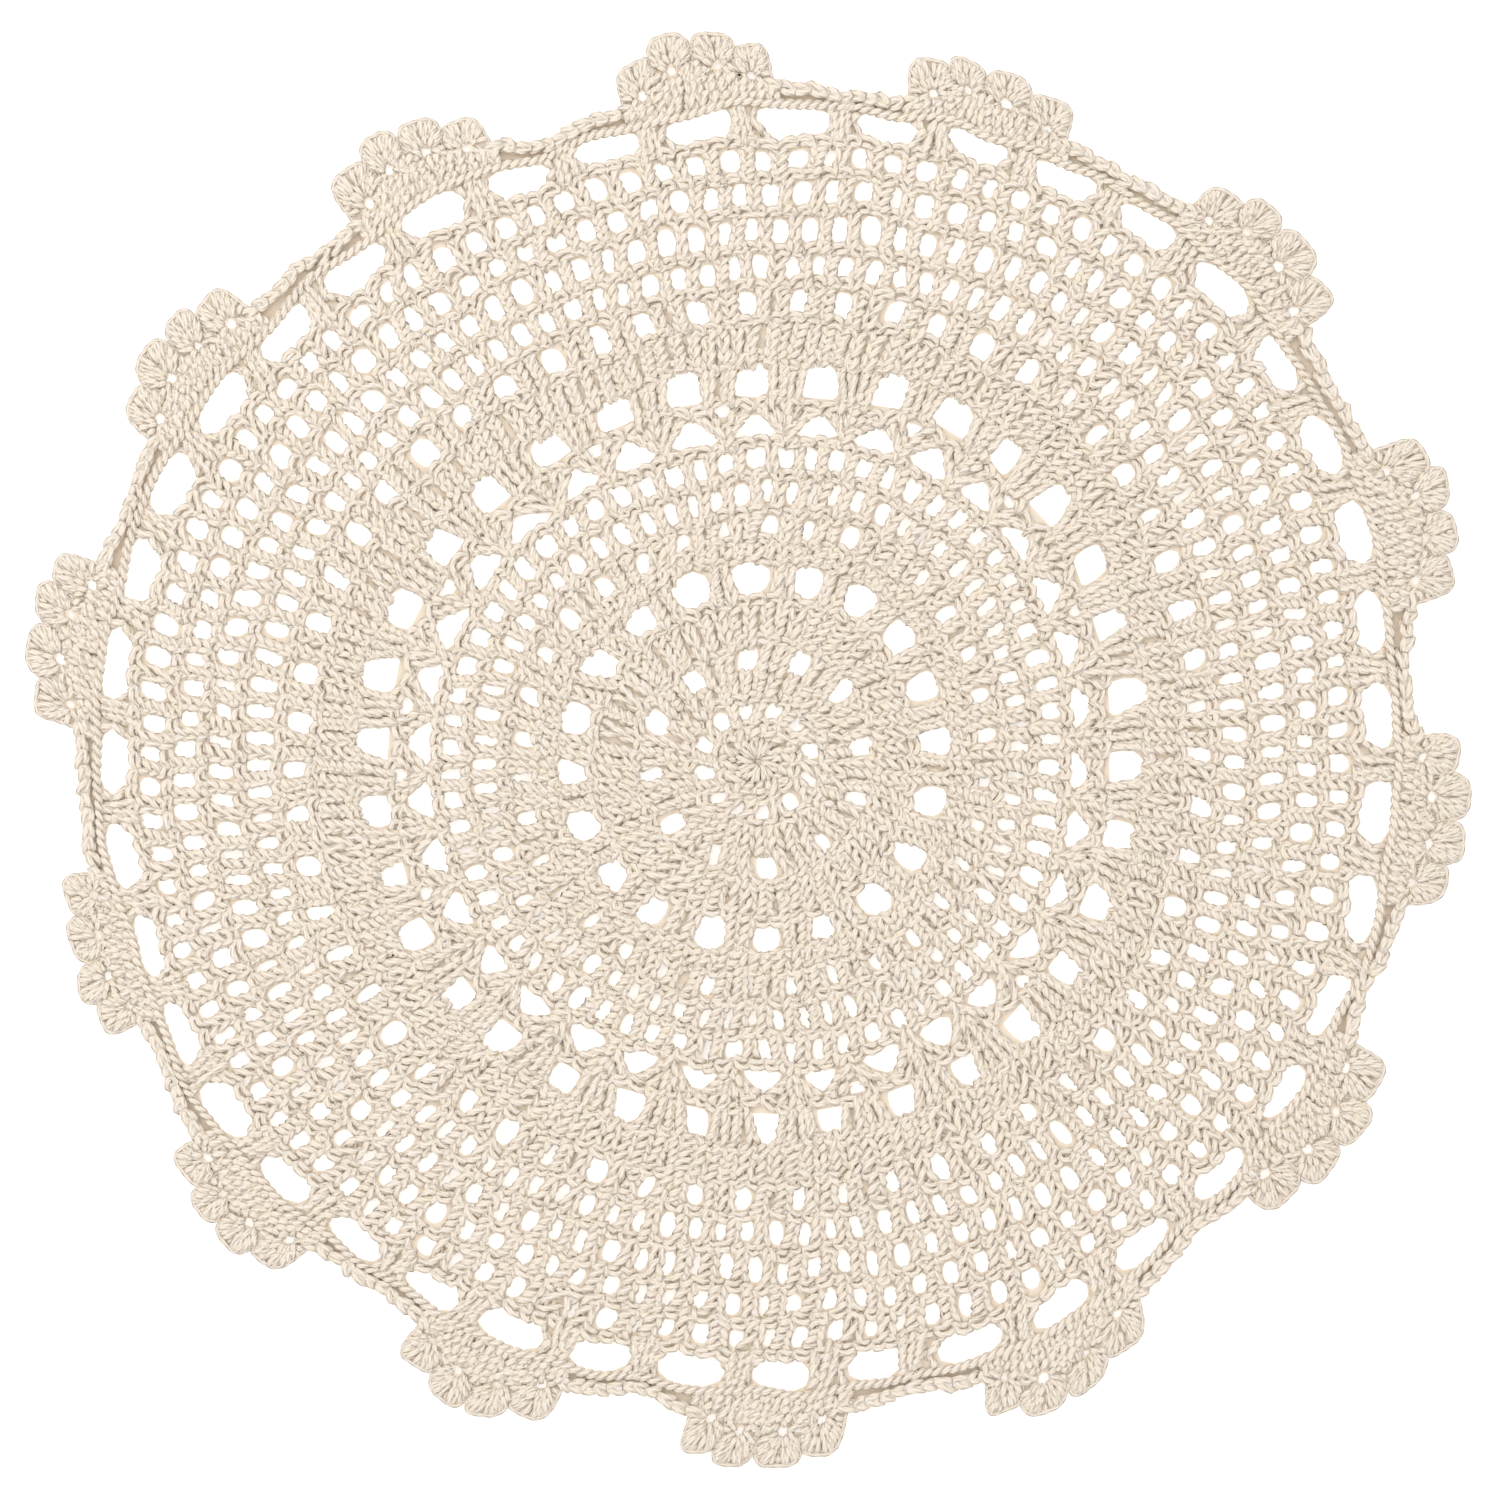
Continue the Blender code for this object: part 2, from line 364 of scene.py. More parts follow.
# %% Spinning a zone into one mesh
def add_object(name, data):
    """A new object with its data, put into the scene at the origin."""
    made = bpy.data.objects.new(name, data)
    bpy.context.scene.collection.objects.link(made)
    return made


def spin(zone, material):
    """One mesh object from all the strands of a zone, and how many triangles it has."""
    points, quads, tris, uv, tones = joined(zone)
    mesh = bpy.data.meshes.new(zone)
    mesh.vertices.add(len(points))
    mesh.vertices.foreach_set("co", points.astype(np.float32).ravel())
    mesh.loops.add(quads.size + tris.size)
    mesh.loops.foreach_set("vertex_index", np.concatenate((quads.ravel(), tris.ravel())).astype(np.int32))
    mesh.polygons.add(len(quads) + len(tris))
    starts = np.concatenate((np.arange(len(quads)) * 4, quads.size + np.arange(len(tris)) * 3))
    mesh.polygons.foreach_set("loop_start", starts.astype(np.int32))
    mesh.polygons.foreach_set("use_smooth", np.ones(len(starts), bool))
    mesh.update(calc_edges=True)
    mesh.uv_layers.new(name="yarn").data.foreach_set("uv", uv.astype(np.float32).ravel())
    mesh.attributes.new("tone", "FLOAT", "FACE").data.foreach_set("value", tones.astype(np.float32))
    mesh.materials.append(material)
    triangles = 2 * len(quads) + len(tris)
    print(f"{zone}: {triangles} triangles")
    return add_object(zone, mesh), triangles


# %% [markdown]
# ## The stitches
#
# A double crochet is a post about 9 mm tall. Four strands of it show at any height: its two legs, and the
# yarn that was thrown over the hook, and they lie over and under each other like a short, loose plait. So
# each strand is seen as a row of slanting leaves that dive under the next one. The strands of a post start
# at a chance place in the plait, and no two posts look the same.
#
# The top of a stitch is a loop. The loops of a whole round lie end to end and make the braid that the
# next round is hooked into, and the feet of that round hug it.

# %% Posts: four strands plaited
Level = namedtuple("Level", "up spread height")
POST = (                      # share of the way from foot to head, how far the strands spread, mm above table
    Level(-0.18, 0.80, 1.35),
    Level(-0.05, 1.10, 1.75),
    Level(0.08, 1.10, 1.90),
    Level(0.20, 1.00, 1.85),
    Level(0.32, 0.95, 1.85),
    Level(0.44, 0.92, 1.80),
    Level(0.56, 0.92, 1.80),
    Level(0.68, 0.95, 1.75),
    Level(0.80, 1.05, 1.70),
    Level(0.91, 1.20, 1.50),
    Level(1.02, 1.35, 1.25),
)
ROLL = 0.55                   # how far a strand rises and falls as it goes over and under the others, mm
OVER_UNDER = 0.80             # the share of this from going over the others, twice in a lay
TO_THE_FRONT = 0.45           # and from coming to the front of the post, once in a lay
LAY = 10.5                    # mm of post in which a strand goes to one side, to the other and back
LAY_SPREAD = 0.25             # how far the lay of one post strays from the next, as a share
SWELL = 0.10                  # a strand is this much thicker on top of the post, where nothing presses it
LOOSE = 0.20                  # how far a strand's points stray, mm
LOOSE_UP = 0.6                # up and down they stray by this share of it
TALL = 9.0                    # height of a whole post, mm: in shorter ones the strands stray less
WIDTHS = (0.85, 1.15)         # least and most width of a stitch, as a share of the usual one
CROWDED = 0.045               # share of the posts that were worked so loosely that they crowd a gap
CROWDED_WIDTH = 1.5


def rightward(ahead):
    """The directions to the right of directions (number, 2), and as long: (x, y) becomes (y, -x)."""
    return np.stack((ahead[:, 1], -ahead[:, 0]), axis=1)


def frame_of(foot, head, up, across):
    """Places foot + up × (head - foot) + across × (the direction to the right of foot to head), in mm:
    one row for each stitch and one place for each entry of up and across."""
    rise = head - foot
    right = unit(rightward(rise))
    return foot[:, None] + up[..., None] * rise[:, None] + across[..., None] * right[:, None]


def with_height(plan, height, chance, loose=1.0):
    """Adds the height to places in plan, and lets every point stray a little: loose times LOOSE."""
    height = np.broadcast_to(height, plan.shape[:2])[..., None]
    points = np.concatenate((plan, height), axis=2)
    return points + loose * chance.normal(0, LOOSE, points.shape) * (1, 1, LOOSE_UP)


def double_crochet(zone, foot, head, chance, foot_width, head_width, strands=4):
    """Posts from foot to head, both (stitches, 2) in mm. Strand k of n has the phase start + twist × up
    + k/n of a turn. It lies across the post by the sine of its phase, and above the post's middle by a
    share of the sine of twice its phase and of its cosine, so that of two that cross one is on top."""
    up, spread, middle = np.array(POST).T
    start = chance.uniform(0, 2 * math.pi, (len(foot), 1))
    tall = np.linalg.norm(head - foot, axis=1, keepdims=True)
    twist = 2 * math.pi * tall / LAY * chance.normal(1, LAY_SPREAD, tall.shape)
    width = foot_width + (head_width - foot_width) * np.clip(up, 0, 1)
    width = width * spread * chance.uniform(*WIDTHS, (len(foot), 1))
    width = width * np.where(chance.uniform(0, 1, (len(foot), 1)) < CROWDED, CROWDED_WIDTH, 1)
    for k in range(strands):
        begin = start + 2 * math.pi * k / strands
        phase = begin + twist * up
        plan = frame_of(foot, head, np.broadcast_to(up, phase.shape), width * np.sin(phase))
        over = OVER_UNDER * np.sin(2 * phase) + TO_THE_FRONT * np.cos(phase)
        points = with_height(plan, middle + ROLL * over, chance, np.minimum(tall / TALL, 1)[..., None])
        swell = 1 + SWELL * np.sin(2 * (begin + twist * np.linspace(up[0], up[-1], STEPS)))
        wind(zone, points, STEPS, chance, YARN * swell)


# %% [markdown]
# The other strands are short tables of the points that they pass: how far across, how far along as a
# share, and how high above the table. On top of the posts a loop is a hairpin that lies on its side and
# shows as two arches, one within the other. In a chain that hangs free it starts inside the loop before,
# comes up, turns round at the front and goes back down, and shows as a V.

# %% Loops: one strand, there and back
Pass = namedtuple("Pass", "across up height")
TOP_LOOP = (
    Pass(-0.20, 1.14, 1.05),
    Pass(0.95, 0.88, 1.80),
    Pass(1.40, 0.50, 2.30),
    Pass(0.85, 0.08, 1.80),
    Pass(-0.75, 0.02, 1.55),
    Pass(-0.35, 0.48, 2.10),
    Pass(-1.15, 0.98, 1.15),
)
CHAIN_LOOP = (
    Pass(0.75, 1.30, 1.05),
    Pass(1.30, 0.98, 1.80),
    Pass(0.90, 0.45, 2.30),
    Pass(0.00, 0.00, 1.85),
    Pass(-0.90, 0.45, 2.30),
    Pass(-1.30, 0.98, 1.80),
    Pass(-0.75, 1.30, 1.05),
)
LOOP_STEPS = 8                # rings of points along a loop
LINE_STRAY = 0.36             # how far the loops of a braid stray from its line, mm
SLANT = 0.08                  # and how far they turn away from it, as a share of their length


def stitched(table, foot, head, chance, width=1.0):
    """Control points (stitches, corners, 3) of the strand in a table at many stitches. The width is mm for
    each mm across in the table; it is a little more or less in each stitch."""
    across, up, height = np.array(table).T
    width = width * chance.uniform(*WIDTHS, (len(foot), 1))
    plan = frame_of(foot, head, np.broadcast_to(up, (len(foot), len(up))), width * across)
    return with_height(plan, height, chance)


def braid(zone, loop, line, chance, width=1.0, thickness=YARN):
    """A row of loops along a line (points, 2) in mm: one from each point to the next, each lying in the
    one before."""
    line = line + chance.normal(0, LINE_STRAY, line.shape)
    ahead = line[1:] - line[:-1]
    slant = chance.normal(0, SLANT, (len(ahead), 1)) * rightward(ahead)
    points = stitched(loop, line[:-1] + slant, line[1:] - slant, chance, width)
    wind(zone, points, LOOP_STEPS, chance, thickness)


def closed_braid(zone, radius, count, first, chance):
    """A braid of so many loops right round the doily. radius is one number or one for each loop."""
    radius = np.broadcast_to(radius, count)
    line = laid(np.append(radius, radius[0]), evenly(first, count, more=1))
    braid(zone, TOP_LOOP, line, chance)


# %% [markdown]
# ## The rounds
#
# Each round stands on the braid below it and ends in a braid of its own. What makes the pattern is only
# how many posts stand together and how wide a band they fill between two gaps, so a table with a row for
# each round is enough for most of the doily. In the fans and shells a group is narrow at its feet and
# wide at its heads. Where a gap is wide, the braid above it bows outwards.

# %% The table of rounds
Round = namedtuple("Round", "zone groups posts middle foot head foot_band head_band lean loops bow")
# groups of posts, posts in a group, turn of a group's middle, radii of the braids below and above, width
# of a group at its feet and its heads in mm, its lean in degrees, loops in the braid above, and its bow.
ROUNDS = (
    Round("medallion", 12, 1, 9.7, 6.2, 9.8, 3.6, 5.0, -3.0, 18, 0.0),
    Round("medallion", 12, 1, 24.7, 11.2, 17.0, 3.4, 4.2, -4.0, 24, 0.3),
    Round("medallion", 36, 1, 7.7, 18.2, 24.0, 3.4, 4.3, -1.0, 0, 0.0),
    Round("medallion", 12, 3, 22.7, 24.2, 31.3, 8.2, 10.9, 0.0, 60, 1.1),
    Round("medallion", 60, 1, 4.7, 32.8, 42.0, 3.7, 4.8, -1.5, 60, 0.0),
    Round("medallion", 20, 2, 12.5, 43.0, 52.4, 8.0, 6.8, 0.0, 100, 0.8),
    Round("inner_net", 100, 1, 1.8, 53.4, 57.2, 3.6, 3.9, -0.6, 100, 0.0),
    Round("inner_net", 34, 2, 9.5, 58.0, 65.4, 7.5, 8.3, -0.3, 102, 0.5),
    Round("inner_net", 68, 1, 2.75, 66.4, 74.0, 3.7, 4.1, -0.3, 136, 0.4),
    Round("inner_net", 68, 1, 4.58, 75.2, 82.6, 3.5, 3.8, -0.3, 136, 0.3),
    Round("v_round", 34, 4, 2.2, 95.8, 104.4, 8.4, 12.2, 0.0, 204, 1.0),
    Round("close_round", 170, 1, 1.0, 105.4, 114.2, 4.1, 4.5, -0.3, 170, 0.0),
    Round("close_round", 57, 2, 7.47, 115.4, 123.6, 8.3, 8.9, -0.2, 171, 0.6),
    Round("net_1", 112, 1, 2.05, 125.0, 133.2, 3.8, 4.2, -0.15, 224, 0.5),
    Round("net_1", 112, 1, 3.02, 134.4, 143.0, 3.9, 4.3, -0.15, 224, 0.5),
    Round("net_2", 112, 1, 4.07, 144.2, 151.9, 4.1, 4.5, -0.15, 224, 0.5),
    Round("net_2", 112, 1, 4.87, 153.2, 161.0, 4.5, 4.9, -0.15, 224, 0.4),
    Round("loops", 42, 3, 99.5, 162.0, 170.8, 6.9, 4.6, -0.2, 0, 0.0),
)
STRAY = 0.40                  # how far a foot or head strays from its place, mm
GROUP_STRAY = 0.07            # and a group of posts from its own, as a share of the groups' pitch
TAKEN_BY_POSTS = 0.75         # share of the slack beside a post that its strands take up
STRAND_PLACE = 0.88           # how far the outermost strand lies from the post's middle, at width 1, mm
LEAST_WIDTH = 0.35            # no post is narrower than this width
BRAID_OUT = 0.4               # a braid lies this far outside the heads that it tops, mm


def snug(turn):
    """How much wider than usual the stitches at a turn are: where the gaps are slack they are narrower."""
    return 1 - TAKEN_BY_POSTS * slack(turn)


def posts_of(row, chance):
    """Feet and heads (posts, 2) of a round and how snug each is: groups at even turns, and in a group the
    posts at even places over its band, turned by the angle of that arc."""
    stray = 360 / row.groups * chance.uniform(-GROUP_STRAY, GROUP_STRAY, row.groups)
    middle = (evenly(row.middle, row.groups) + stray)[:, None]
    place = ((np.arange(row.posts) + 0.5) / row.posts - 0.5) * snug(middle)
    feet_turn = middle - row.lean / 2 + np.degrees(place * row.foot_band / row.foot)
    head_turn = middle + row.lean / 2 + np.degrees(place * row.head_band / row.head)
    foot = laid(row.foot, feet_turn).reshape(-1, 2)
    head = laid(row.head, head_turn).reshape(-1, 2)
    snugness = np.repeat(snug(middle), row.posts, axis=0)
    return foot + chance.normal(0, STRAY, foot.shape), head + chance.normal(0, STRAY, head.shape), snugness


def post_width(band, posts):
    """Width factor that makes so many posts fill a band: half of each post's share of it, less half the
    yarn, over STRAND_PLACE."""
    return np.maximum((band / posts / 2 - HALF_YARN) / STRAND_PLACE, LEAST_WIDTH)


def work_round(row, chance):
    """One round: its posts, and the braid on them, bowed outwards by a cosine over each gap. Its posts'
    number comes back."""
    foot, head, snugness = posts_of(row, chance)
    double_crochet(row.zone, foot, head, chance, post_width(row.foot_band * snugness, row.posts),
                   post_width(row.head_band * snugness, row.posts))
    if row.loops:
        turn = evenly(row.middle, row.loops)
        bow = -row.bow * np.cos(np.radians(row.groups * (turn - row.middle)))
        closed_braid(row.zone, row.head + BRAID_OUT + bow, row.loops, row.middle, chance)
    return len(foot)


STITCH_SEED = 12
chance = np.random.default_rng(STITCH_SEED)
posts = [work_round(row, chance) for row in ROUNDS]
print("posts worked:", sum(posts))

# %% [markdown]
# ## The middle
#
# The doily starts with twelve spokes drawn together by the first loop of yarn. Their feet lie so close
# that the strands are pinched thin, and the middle is a dark point.

# %% The twelve spokes
SPOKES = 12
SPOKE_TURN = 9.7              # turn of one spoke's foot
SPOKE_LEAN = 4.0              # its head is turned back by this, degrees
SPOKE_FOOT = 0.9              # radii of its foot and its head, mm
SPOKE_HEAD = 5.9
SPOKE_WIDTH = 0.8
SPOKE_YARN = 0.76             # half thickness of the pinched yarn, mm
SPOKE_LEG = (
    Pass(0.06, 0.00, 0.90),
    Pass(0.20, 0.16, 1.60),
    Pass(0.60, 0.45, 2.40),
    Pass(0.95, 0.75, 2.50),
    Pass(0.75, 1.02, 1.50),
)
turn = evenly(SPOKE_TURN, SPOKES)
foot, head = laid(SPOKE_FOOT, turn), laid(SPOKE_HEAD, turn - SPOKE_LEAN)
for side in (-1, 1):
    leg = stitched(SPOKE_LEG, foot, head, chance, SPOKE_WIDTH * side)
    wind("medallion", leg, LOOP_STEPS, chance, SPOKE_YARN)
print("legs in the middle:", 2 * SPOKES)

# %% [markdown]
# ## The V round
#
# Between the inner net and the shells stand thirty-four Vs. A V has a short neck on the braid, and from
# it two arms sweep out to each side and join the chain that hangs over the next triangle. The chain
# isn't a circle: it is drawn in over each triangle and pushed out where a shell's foot wraps it. A cosine
# with one wave to a repeat gives that line.

# %% The Vs
VS = 34
V_TURN = 1.67                 # turn of one V
NECK = (83.4, 89.2)           # radii of a neck's foot and head, mm
NECK_BAND = 4.3               # and the width that it fills, mm
SHUT = 0.58                   # share of the Vs whose small gap is filled by a crowded stitch
FILLING = (89.5, 95.6)        # radii of that stitch's foot and head, mm
FILLING_WIDTHS = (0.7, 1.3)   # and its width at both
ARM_FOOT = 0.6                # an arm is narrower at its foot, by this share
Arm = namedtuple("Arm", "foot foot_place head head_place strands width")
ARMS = (                      # radii and places beside the V's middle of an arm's two ends, mm, and its width
    Arm(86.4, 1.0, 92.9, 7.4, 3, 0.85),
    Arm(88.6, 1.0, 95.0, 4.7, 2, 0.70),
)


def work_arms(zone, arms, turn, chance):
    """The arms to both sides of every turn given."""
    for arm in arms:
        for side in (-1, 1):
            foot = laid(arm.foot, turn + side * math.degrees(arm.foot_place / arm.foot))
            head = laid(arm.head, turn + side * math.degrees(arm.head_place / arm.head))
            double_crochet(zone, foot, head, chance, ARM_FOOT * arm.width, arm.width, arm.strands)


turn = evenly(V_TURN, VS)
neck = post_width(NECK_BAND, 1)
foot, head = (laid(radius, turn) for radius in NECK)
double_crochet("v_round", foot, head, chance, neck, neck)
work_arms("v_round", ARMS, turn, chance)
shut = chance.uniform(0, 1, VS) < SHUT
foot, head = (laid(radius, turn[shut]) for radius in FILLING)
double_crochet("v_round", foot, head, chance, *FILLING_WIDTHS)
print("small gaps shut:", shut.sum(), "of", VS)

# %% The wavy chain over the triangles
CHAIN_MIDDLE = 94.1           # the chain's radius, mm
CHAIN_WAVE = 1.7              # and how far it waves to each side of it, mm
V_LOOPS = 4 * VS


def wave(turn):
    """How far outwards the wavy chain runs at a turn: a cosine with one wave to a V."""
    return CHAIN_WAVE * np.cos(np.radians(VS * (turn - V_TURN)))


closed_braid("v_round", CHAIN_MIDDLE + wave(evenly(V_TURN, V_LOOPS)), V_LOOPS, V_TURN, chance)
print("loops in the wavy chain:", V_LOOPS)

# %% [markdown]
# ## The edge
#
# Over the long loops a chain runs right round. Between the scallops a second, fatter chain runs beside
# it, with a dark slit between the two. The posts of the long loops splay at their feet and heads, so that
# the gaps between them have round corners: two short arms at each end of a group do that.

# %% The splayed posts
SPLAYS = (
    Arm(167.2, 2.2, 162.6, 5.6, 2, 0.45),
    Arm(166.6, 2.0, 170.8, 4.3, 2, 0.40),
)
loops_row = ROUNDS[-1]
work_arms("loops", SPLAYS, evenly(loops_row.middle, loops_row.groups), chance)
print("splayed posts:", 2 * len(SPLAYS) * loops_row.groups)

# %% [markdown]
# The inner chain is crocheted so tight that it shows as a cord of two strands wound round each other. Two
# helices half a turn apart give it. The outer one is an open chain of loops, made like any braid.

# %% The two chains of the edge
CORD_LAY = 5.0                # a cord's two strands go once round each other in this length, mm
CORD_HEIGHT = 1.9             # its middle above the table, mm
CORD_APART = 0.75             # how far a strand lies to the side of it, as a share of its half thickness
CORD_RISE = 0.70              # and above it
CORD_YARN = 0.90              # half thickness of the inner chain's strands, mm
CORD_LINE_STEPS = 60
CORD_STEPS = 150
INNER_CHAIN = 171.5           # radius of the inner chain, mm
INNER_HALF = 0.52             # half a length of it, as a share of the scallops' pitch: two overlap a little
OUTER_CHAIN_IN = 2.4          # middle of the outer chain inside the cloth's edge, mm
CHAIN_DIP = 1.8               # and how much nearer the middle it runs halfway between two scallops, mm
CHAINS_BETWEEN = 12
UNDER_A_SCALLOP = 0.06        # share of its length by which it goes on under the scallop at each end
OUTER_WIDTH = 0.86
OUTER_YARN = 1.05             # half thickness of the outer chain's yarn, mm


def cord(zone, line, chance):
    """Two strands wound round a line (points, 2) in mm, like a two-ply rope: each lies to the side of the
    line by the cosine of its phase and above it by the sine, half a turn from the other."""
    along = np.concatenate(([0], np.cumsum(np.linalg.norm(np.diff(line, axis=0), axis=1))))
    fine = np.linspace(0, along[-1], CORD_STEPS)
    plan = np.stack([np.interp(fine, along, line[:, axis]) for axis in (0, 1)], axis=1)
    right = rightward(unit(np.gradient(plan, axis=0)))
    start = chance.uniform(0, 2 * math.pi)
    for k in range(2):
        phase = start + 2 * math.pi * fine / CORD_LAY + math.pi * k
        place = plan + CORD_APART * CORD_YARN * np.cos(phase)[:, None] * right
        points = np.column_stack((place, CORD_HEIGHT + CORD_RISE * CORD_YARN * np.sin(phase)))
        wind(zone, points[None], CORD_STEPS, chance, CORD_YARN)


def outer_chain(middle, share):
    """The outer chain's line at shares of the way from one scallop to the next: it dips by a sine."""
    dip = CHAIN_DIP * np.sin(math.pi * np.clip(share, 0, 1))
    return laid(VALLEY_RADIUS - OUTER_CHAIN_IN - dip, valley_turn(middle, share))


for middle in SCALLOP_MIDDLES:
    turn = middle + np.linspace(-INNER_HALF, INNER_HALF, CORD_LINE_STEPS) * SCALLOP_PITCH
    cord("edge", laid(INNER_CHAIN, turn), chance)
    line = outer_chain(middle, np.linspace(-UNDER_A_SCALLOP, 1 + UNDER_A_SCALLOP, CHAINS_BETWEEN))
    braid("edge", CHAIN_LOOP, line[::-1], chance, OUTER_WIDTH, OUTER_YARN)
print("lengths of chain in the edge:", 2 * len(SCALLOPS))

# %% [markdown]
# ## The scallops
#
# Each scallop is four lobes on a base of short, close stitches. A lobe is a fan of tight strands that
# rise out of one small hole and touch the next lobe's. Its strands show in tiers, few beside the hole and
# more towards the rim, where a lower tier fills what shows between them, and one more strand closes the
# rim. The rim is drawn as a squared-off half oval round the hole, and for the outermost lobes it comes
# down the side.

# %% One fan of a scallop
Fan = namedtuple("Fan", "hole_place hole_radius wide tall first last")
FANS = (                      # degrees and mm of a hole, half width and height of its fan, first and last way
    Fan(4.95, 178.4, 6.4, 9.8, 218.0, 0.0),
    Fan(1.78, 182.0, 6.6, 9.6, 194.0, -14.0),
    Fan(-1.86, 182.0, 6.6, 9.3, 194.0, -14.0),
    Fan(-5.15, 178.4, 6.4, 9.6, 180.0, -38.0),
)
HOLE = 1.6                    # half a fan's hole, mm
SQUARED = 0.55                # 1 makes a fan's rim an ellipse, and less makes it squarer
Tier = namedtuple("Tier", "strands start end height thickness")
TIERS = (                     # shares of the way from hole to rim, mm above the table, half thickness
    Tier(10, 0.00, 0.60, 1.80, 0.86),
    Tier(18, 0.36, 1.00, 2.00, 0.88),
    Tier(21, 0.62, 1.02, 1.60, 0.84),
)
LEAF = ((0.0, -0.45), (0.25, 0.10), (0.6, 0.15), (1.0, -0.40))    # share of a strand's length, mm higher
LEAF_STEPS = 6                # rings of points along a leaf
LEAF_IN = 1.0                 # the leaves' ways end this far inside the fan's edge, mm
FAN_LOOSE = 0.16              # how far a leaf's points stray, mm


def round_hole(direction, size):
    """Places on a circle round a fan's hole, in a direction in degrees with 90 outwards: mm to the right
    of the hole and mm outwards from it."""
    return size * np.cos(np.radians(direction)), size * np.sin(np.radians(direction))


def round_rim(fan, direction, inside):
    """The same for the fan's rim, so far inside its edge: the cosine and the sine, each to the power
    SQUARED, times half its width and its height."""
    right, out = (np.sign(part) * np.abs(part) ** SQUARED for part in round_hole(direction, 1.0))
    return (fan.wide - inside) * right, (fan.tall - inside) * out


def in_fan(fan, middle, place):
    """Where such places lie on the table."""
    right, out = place
    radius = fan.hole_radius + out
    return laid(radius, middle + fan.hole_place - np.degrees(right / radius))


def fan_tier(zone, fan, middle, tier, chance):
    """Leaves of yarn at even ways: each goes from the hole towards the rim, from tier.start to tier.end."""
    ways = np.linspace(fan.first, fan.last, tier.strands)
    hole = in_fan(fan, middle, round_hole(ways, HOLE))
    rim = in_fan(fan, middle, round_rim(fan, ways, LEAF_IN))
    share, higher = np.array(LEAF).T
    along = tier.start + (tier.end - tier.start) * share
    plan = hole[:, None] + along[None, :, None] * (rim - hole)[:, None]
    height = np.full((len(ways), len(share), 1), tier.height) + higher[:, None]
    points = np.concatenate((plan, height), axis=2)
    wind(zone, points + chance.normal(0, FAN_LOOSE, points.shape), LEAF_STEPS, chance, tier.thickness)


print("strands in a fan:", sum(tier.strands for tier in TIERS), "and its rim")

# %% [markdown]
# The base is made of posts like the rest of the doily, only shorter: two full rows, and a few posts that
# fill the corner between the two middle lobes. A row's heads follow the arch of the lobes, so they are
# lower at the scallop's sides by the square of their place.

# %% The base and the fourteen scallops
BASE_ROWS = (                 # posts in a row, half its width in degrees, radii of its feet and heads, mm
    (15, 6.7, 172.8, 177.6),
    (11, 3.9, 176.4, 180.4),
    (3, 0.7, 179.6, 183.2),
)
BASE_SAG = 1.6                # mm that a base row's heads are lower at the scallop's sides
BASE_SHIFT = 0.1              # the base's middle is turned from the scallop's by this, degrees
BASE_DRAWN = 0.97             # a row's heads are this share as far from its middle as its feet
BASE_WIDTH = 1.1              # width of its posts
RIM_IN = 0.75                 # middle of a rim's strand inside the fan's edge, mm
RIM_HEIGHT = 1.6              # and above the table, mm
RIM_YARN = 0.70               # half its thickness, mm
RIM_POINTS = 30
RIM_STEPS = 40


def scallop(zone, middle, chance):
    """The base rows of posts, and the four fans with their rims."""
    for count, half_width, low, high in BASE_ROWS:
        place = np.linspace(-half_width, half_width, count) - BASE_SHIFT
        foot = laid(low, middle + place)
        head = laid(high - BASE_SAG * (place / half_width) ** 2, middle + place * BASE_DRAWN)
        foot, head = (end + chance.normal(0, STRAY, end.shape) for end in (foot, head))
        double_crochet(zone, foot, head, chance, BASE_WIDTH, BASE_WIDTH)
    for fan in FANS:
        for tier in TIERS:
            fan_tier(zone, fan, middle, tier, chance)
        ways = np.linspace(fan.first, fan.last, RIM_POINTS)
        rim = in_fan(fan, middle, round_rim(fan, ways, RIM_IN))
        rim = np.column_stack((rim, np.full(RIM_POINTS, RIM_HEIGHT)))
        wind(zone, rim[None], RIM_STEPS, chance, RIM_YARN)


for number, middle in enumerate(SCALLOP_MIDDLES):
    scallop("scallops_right" if number < len(SCALLOPS) / 2 else "scallops_left", middle, chance)
print("zones wound:", ", ".join(zones))
